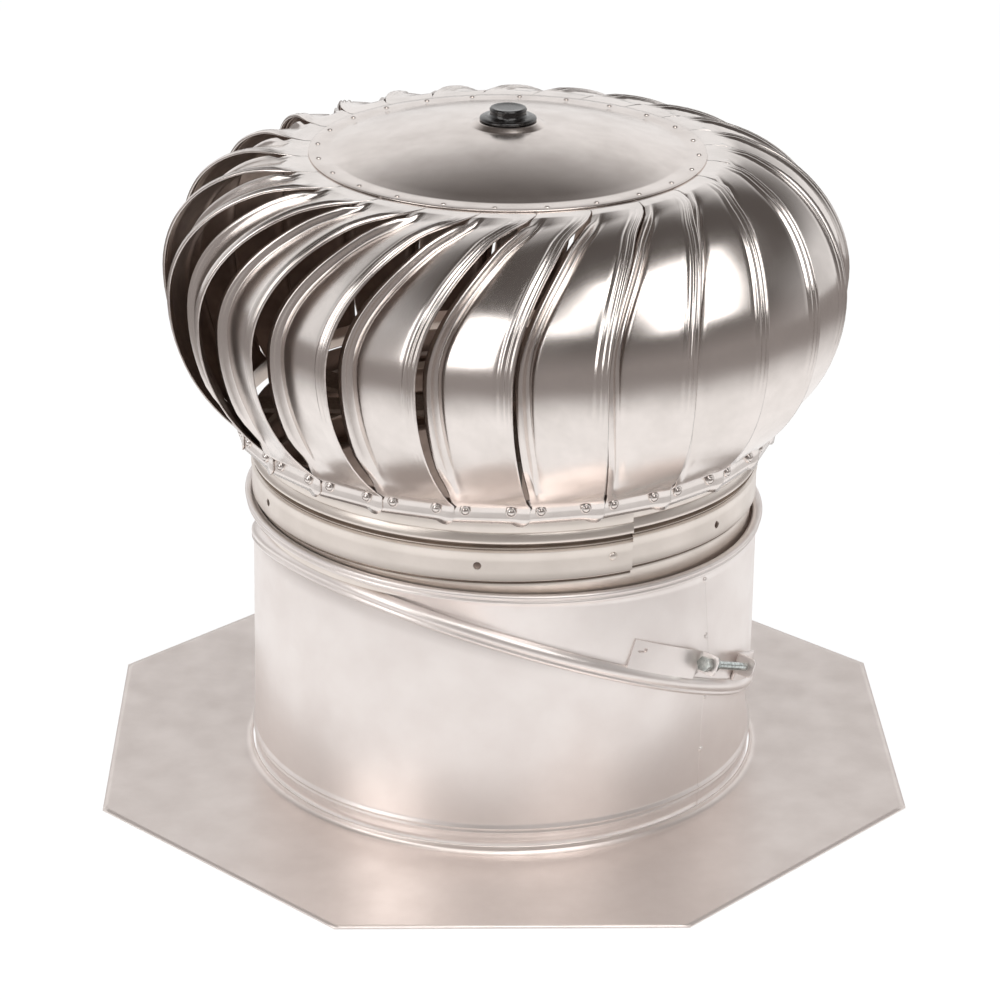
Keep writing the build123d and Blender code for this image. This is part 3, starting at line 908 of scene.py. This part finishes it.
def crown_piece():
    """Flange, dome and boss, as one spun sheet."""
    top = head_top_z + crown_sheet
    profile = offset_profile(crown_r, top, [(0.0, -0.8), (-0.1, -0.2), (-0.6, 0.0)])
    profile += offset_profile(dome_r, top, [(6.0, 0.0), (1.4, 0.0), (0.9, 0.0), (0.2, 0.1)])
    profile += [(dome_r - inner, dome_z(dome_r - inner) + 0.1) for inner in (0.2, 0.9)]
    steps = 18
    low_r = dome_r - 2.5
    high_r = boss_r + 1.5
    for step in range(steps + 1):
        radius = low_r + (high_r - low_r) * step / steps
        profile.append((radius, dome_z(radius)))
    boss_foot = dome_z(boss_r)
    profile.append((boss_r + 0.6, dome_z(boss_r + 0.6)))
    profile += offset_profile(boss_r, boss_foot, [(0.0, 0.1), (-0.5, 0.5)])
    rounded = [(0.7, -0.35), (0.2, -0.05), (-0.6, 0.0), (-1.6, 0.0)]
    profile += offset_profile(boss_top_r, boss_foot + boss_h, rounded)
    profile += [(cap_button_r, boss_foot + boss_h)]
    profile = profile[::-1]
    rows = turned_rows(profile, full_circle(220))
    piece = sheet_object("crown_skin", rows)
    flip(piece)
    give_thickness(piece, crown_sheet * 0.6, paint_inner_shade=True)
    finish_piece(piece, crown_metal, "rotor", "crown_aluminium", "crown")


def cap_piece():
    """The rubber cap: flange, waist and button."""
    base = cap_low.z + cap_base_up
    top = cap_high.z
    face = [(0.01, -0.5), (5.0, -0.5), (8.2, -0.3), (9.4, 0.0), (10.3, -0.3)]
    profile = offset_profile(0.0, top, face)
    profile += offset_profile(cap_button_r, top, [(0.0, -1.1), (-0.3, -2.4)])
    profile += offset_profile(cap_button_r, base, [(-0.2, 3.0), (0.6, 2.5)])
    profile += offset_profile(0.0, base, [(13.2, 2.3), (15.4, 2.1), (16.3, 1.6)])
    profile += offset_profile(cap_flange_r, base, [(0.0, 0.9), (-0.5, 0.2)])
    profile += offset_profile(0.0, base, [(15.0, 0.0), (0.01, 0.0)])
    piece = turned_object("cap_rubber", profile[::-1], 96)
    finish_piece(piece, rubber, "rotor", "black_rubber", "weather_cap")


crown_piece()
cap_piece()


# Small fasteners


def placed_profile(profile, count, centre, out):
    """Points and faces of a small turned form that stands on a surface."""
    side = level_side(out)
    up = side.cross(out)
    points = []
    for radius, height in profile:
        for angle in full_circle(count):
            turn = math.radians(angle)
            points.append(centre + (side * math.cos(turn) + up * math.sin(turn)) * radius + out * height)
    return points, len(profile)


def fastener_group(name, profile, places, material, body, slot, count=20):
    """One object that holds every fastener of a kind."""
    points = []
    faces = []
    for centre, out in places:
        start = len(points)
        more, rows = placed_profile(profile, count, centre, out)
        points += more
        faces += grid_faces(rows, count, True, start)
    piece = new_object(name, points, faces)
    finish_piece(piece, material, body, slot)


tab_stud = [(3.3, -0.6), (3.2, 0.4), (2.75, 1.0), (2.3, 1.1), (2.0, 0.7)]
tab_stud += [(1.9, 0.9), (1.5, 1.4), (0.8, 1.7), (0.02, 1.75)]
stud = [(2.6, -0.5), (2.5, 0.2), (1.9, 0.8), (0.9, 1.1), (0.02, 1.15)]
small_stud = [(1.9, -0.5), (1.8, 0.1), (1.2, 0.6), (0.5, 0.75), (0.02, 0.78)]


def tab_rivets():
    """Two rivets on each tab, whose face is a chord of the tabs' circle."""
    places = []
    flat_r = tab_line_r * math.cos(math.radians(pitch / 2))
    for number in range(vane_count):
        for shift in tab_rivet_shifts:
            angle = vane_phase + number * pitch + shift
            chord_r = flat_r / math.cos(math.radians(shift - pitch / 2))
            lift = vane_sheet if shift > pitch / 2 else 0.0
            normal = around(1, vane_phase + (number + 0.5) * pitch, 0)
            places.append((around(chord_r + lift * 0.4, angle, tab_rivet_z), normal))
    fastener_group("tab_rivets", tab_stud, places, vane_metal, "rotor", "vane_aluminium", 24)


def crown_rivets():
    """One small rivet over each vane's top tab."""
    top = head_top_z + crown_sheet
    places = []
    for number in range(vane_count):
        azimuth = crown_rivet_at + number * pitch
        places.append((around(crown_rivet_r, azimuth, top), Vector((0, 0, 1))))
    fastener_group("crown_rivets", small_stud, places, crown_metal, "rotor", "crown_aluminium", 16)


def lap_rivets():
    """Rivets down the ducts' lap seam, and the one at the collar's lap."""
    places = [on_surface(upper_skin, lap_at, z) for z in upper_lap_rivets]
    fastener_group("upper_lap_rivets", small_stud, places, base_metal, "neck", "base_aluminium", 16)
    places = [on_surface(lower_skin, lap_at, z) for z in lower_lap_rivets]
    fastener_group("lower_lap_rivets", small_stud, places, base_metal, "base", "base_aluminium", 16)
    places = [on_surface(collar_skin, collar_rivet_at, collar_rivet_z)]
    fastener_group("collar_lap_rivet", stud, places, collar_metal, "neck", "collar_aluminium", 20)


tab_rivets()
crown_rivets()
lap_rivets()

# Plainer CAD nodes keep their shapes
for name, material in (
    ("hoop", vane_metal),
    ("rotor_spider", strip_steel),
    ("shaft_bracket", strip_steel),
    ("crown_hub", strip_steel),
    ("shaft", turned_steel),
    ("shaft_nuts", zinc),
    ("thrust_collar", turned_steel),
    ("retaining_ring", turned_steel),
    ("lower_bearing", turned_steel),
    ("upper_bearing", turned_steel),
    ("clamp_bolt", zinc),
    ("clamp_nut", zinc),
):
    node = frame["nodes"][name]
    node.data.materials.clear()
    node.data.materials.append(material)


# Stage: floor, world, lamps and camera
table_edge = 0.5        # metres from the axis at which the table starts to darken in reflections
table_fade = 0.35
far_table = (0.27, 0.245, 0.235)
floor_drop = 0.0005     # metres below the object, so that the two don't coincide
floor_glow = 0.88       # share of the floor's colour that light and shadow don't change
floor_strength = 1.1
backdrop_shown = 0.92   # how white the backdrop is in reflections
lamp_white = (1.0, 0.99, 0.98)
lamp_aim = (0, 0, 0.3)
lamp_distance = 2.3


def two_values(tree, operation, first, second):
    """The result of a maths node on two values."""
    node = tree.nodes.new("ShaderNodeMath")
    node.operation = operation
    tree.links.new(first, node.inputs[0])
    tree.links.new(second, node.inputs[1])
    return node.outputs["Value"]


def product(tree, first, second):
    """The product of two values."""
    return two_values(tree, "MULTIPLY", first, second)


def either(tree, first, second):
    """1 where either value is 1."""
    return two_values(tree, "MAXIMUM", first, second)


def stage_floor():
    """A pale table top: white, with the object's shadow, and it ends some way in front."""
    size = 6.0
    mesh = bpy.data.meshes.new("floor")
    corners = [(-size, -size, 0), (size, -size, 0), (size, size, 0), (-size, size, 0)]
    mesh.from_pydata(corners, [], [(0, 1, 2, 3)])
    floor = bpy.data.objects.new("floor", mesh)
    bpy.context.scene.collection.objects.link(floor)
    floor.location.z = -floor_drop
    material = bpy.data.materials.new("floor")
    material.use_nodes = True
    tree = material.node_tree
    tree.nodes.clear()
    output = tree.nodes.new("ShaderNodeOutputMaterial")
    paths = tree.nodes.new("ShaderNodeLightPath")
    diffuse = tree.nodes.new("ShaderNodeBsdfDiffuse")
    diffuse.inputs["Color"].default_value = (0.95, 0.95, 0.95, 1)
    white = tree.nodes.new("ShaderNodeEmission")
    white.inputs["Color"].default_value = (1, 1, 1, 1)
    white.inputs["Strength"].default_value = floor_strength
    glow = tree.nodes.new("ShaderNodeMixShader")
    glow.inputs["Fac"].default_value = floor_glow
    tree.links.new(diffuse.outputs["BSDF"], glow.inputs[1])
    tree.links.new(white.outputs["Emission"], glow.inputs[2])
    room = tree.nodes.new("ShaderNodeEmission")
    place = tree.nodes.new("ShaderNodeTexCoord")
    length = tree.nodes.new("ShaderNodeVectorMath")
    length.operation = "LENGTH"
    tree.links.new(place.outputs["Object"], length.inputs[0])
    far = ramp(tree, length.outputs["Value"], table_edge, table_edge + table_fade, 0.0, 1.0)
    tone = colour_mix(tree, far, (0.98, 0.97, 0.965), far_table)
    tree.links.new(tone, room.inputs["Color"])
    seen = either(tree, paths.outputs["Is Glossy Ray"], paths.outputs["Is Transmission Ray"])
    mix = tree.nodes.new("ShaderNodeMixShader")
    tree.links.new(seen, mix.inputs["Fac"])
    tree.links.new(glow.outputs["Shader"], mix.inputs[1])
    tree.links.new(room.outputs["Emission"], mix.inputs[2])
    tree.links.new(mix.outputs["Shader"], output.inputs["Surface"])
    floor.data.materials.append(material)


def studio_world():
    """White for the camera; reflections show that white behind the object, and a dim room elsewhere."""
    world = bpy.data.worlds.new("studio")
    bpy.context.scene.world = world
    world.use_nodes = True
    tree = world.node_tree
    tree.nodes.clear()
    output = tree.nodes.new("ShaderNodeOutputWorld")
    paths = tree.nodes.new("ShaderNodeLightPath")
    white = tree.nodes.new("ShaderNodeBackground")
    white.inputs["Color"].default_value = (1, 1, 1, 1)
    room = tree.nodes.new("ShaderNodeBackground")
    place = tree.nodes.new("ShaderNodeTexCoord")
    parts = tree.nodes.new("ShaderNodeSeparateXYZ")
    tree.links.new(place.outputs["Generated"], parts.inputs["Vector"])
    behind = ramp(tree, parts.outputs["Y"], -0.35, 0.45, 0.0, 1.0)
    below_ceiling = ramp(tree, parts.outputs["Z"], 0.42, 0.74, 1.0, 0.0)
    height = ramp(tree, parts.outputs["Z"], 0.0, 0.5, 0.0, 1.0)
    dusk = colour_mix(tree, height, far_table, (0.085, 0.075, 0.07))
    backdrop = product(tree, behind, below_ceiling)
    shown = either(tree, paths.outputs["Is Glossy Ray"], paths.outputs["Is Transmission Ray"])
    unseen = product(tree, backdrop, ramp(tree, shown, 0.0, 1.0, 1.0, 0.0))
    tone = colour_mix(tree, unseen, (0, 0, 0), (0.92, 0.9, 0.88))
    tree.links.new(dusk, tone.node.inputs["A"])
    mirrored = product(tree, shown, ramp(tree, backdrop, 0.0, 1.0, 0.0, backdrop_shown))
    white_share = either(tree, paths.outputs["Is Camera Ray"], mirrored)
    tree.links.new(tone, room.inputs["Color"])
    mix = tree.nodes.new("ShaderNodeMixShader")
    tree.links.new(white_share, mix.inputs["Fac"])
    tree.links.new(room.outputs["Background"], mix.inputs[1])
    tree.links.new(white.outputs["Background"], mix.inputs[2])
    tree.links.new(mix.outputs["Shader"], output.inputs["Surface"])


def soft_lamp(name, azimuth, elevation, width, height, power):
    """A rectangular soft lamp that points at the object; its sides are in metres."""
    light = bpy.data.lights.new(name, "AREA")
    light.shape = "RECTANGLE"
    light.size = width
    light.size_y = height
    light.energy = power
    light.color = lamp_white
    lamp = bpy.data.objects.new(name, light)
    bpy.context.scene.collection.objects.link(lamp)
    level = lamp_distance * math.cos(math.radians(elevation))
    spot = around(level, azimuth, lamp_aim[2] + lamp_distance * math.sin(math.radians(elevation)))
    lamp.location = spot
    lamp.rotation_euler = (Vector(lamp_aim) - spot).to_track_quat("-Z", "Y").to_euler()


def camera():
    """The photographer's camera."""
    lens = 120.274
    shift = 0.0015
    down = math.radians(22.86)
    distance = 2.0177
    aim_height = 0.15809
    yaw = math.radians(-0.09)
    roll = math.radians(0.66)
    spot = Vector((0, -distance * math.cos(down), aim_height + distance * math.sin(down)))
    forward = Vector((0, math.cos(down), -math.sin(down)))
    right = Vector((1, 0, 0))
    up = right.cross(forward)
    look = forward * math.cos(yaw) + right * math.sin(yaw)
    side = right * math.cos(yaw) - forward * math.sin(yaw)
    rolled_side = side * math.cos(roll) + up * math.sin(roll)
    rolled_up = up * math.cos(roll) - side * math.sin(roll)
    data = bpy.data.cameras.new("camera")
    data.lens = lens
    data.shift_x = shift
    data.sensor_width = 36
    viewer = bpy.data.objects.new("camera", data)
    bpy.context.scene.collection.objects.link(viewer)
    turn = Matrix((rolled_side, rolled_up, -look)).transposed()
    viewer.matrix_world = Matrix.Translation(spot) @ turn.to_4x4()
    bpy.context.scene.camera = viewer


stage_floor()
studio_world()
soft_lamp("left_box", -143, 24, 1.2, 1.8, 15)
soft_lamp("middle_box", -112, 56, 0.6, 1.8, 6.5)
soft_lamp("right_box", -60, 57, 1.35, 2.5, 25)
camera()
bpy.context.scene.view_settings.view_transform = "Standard"
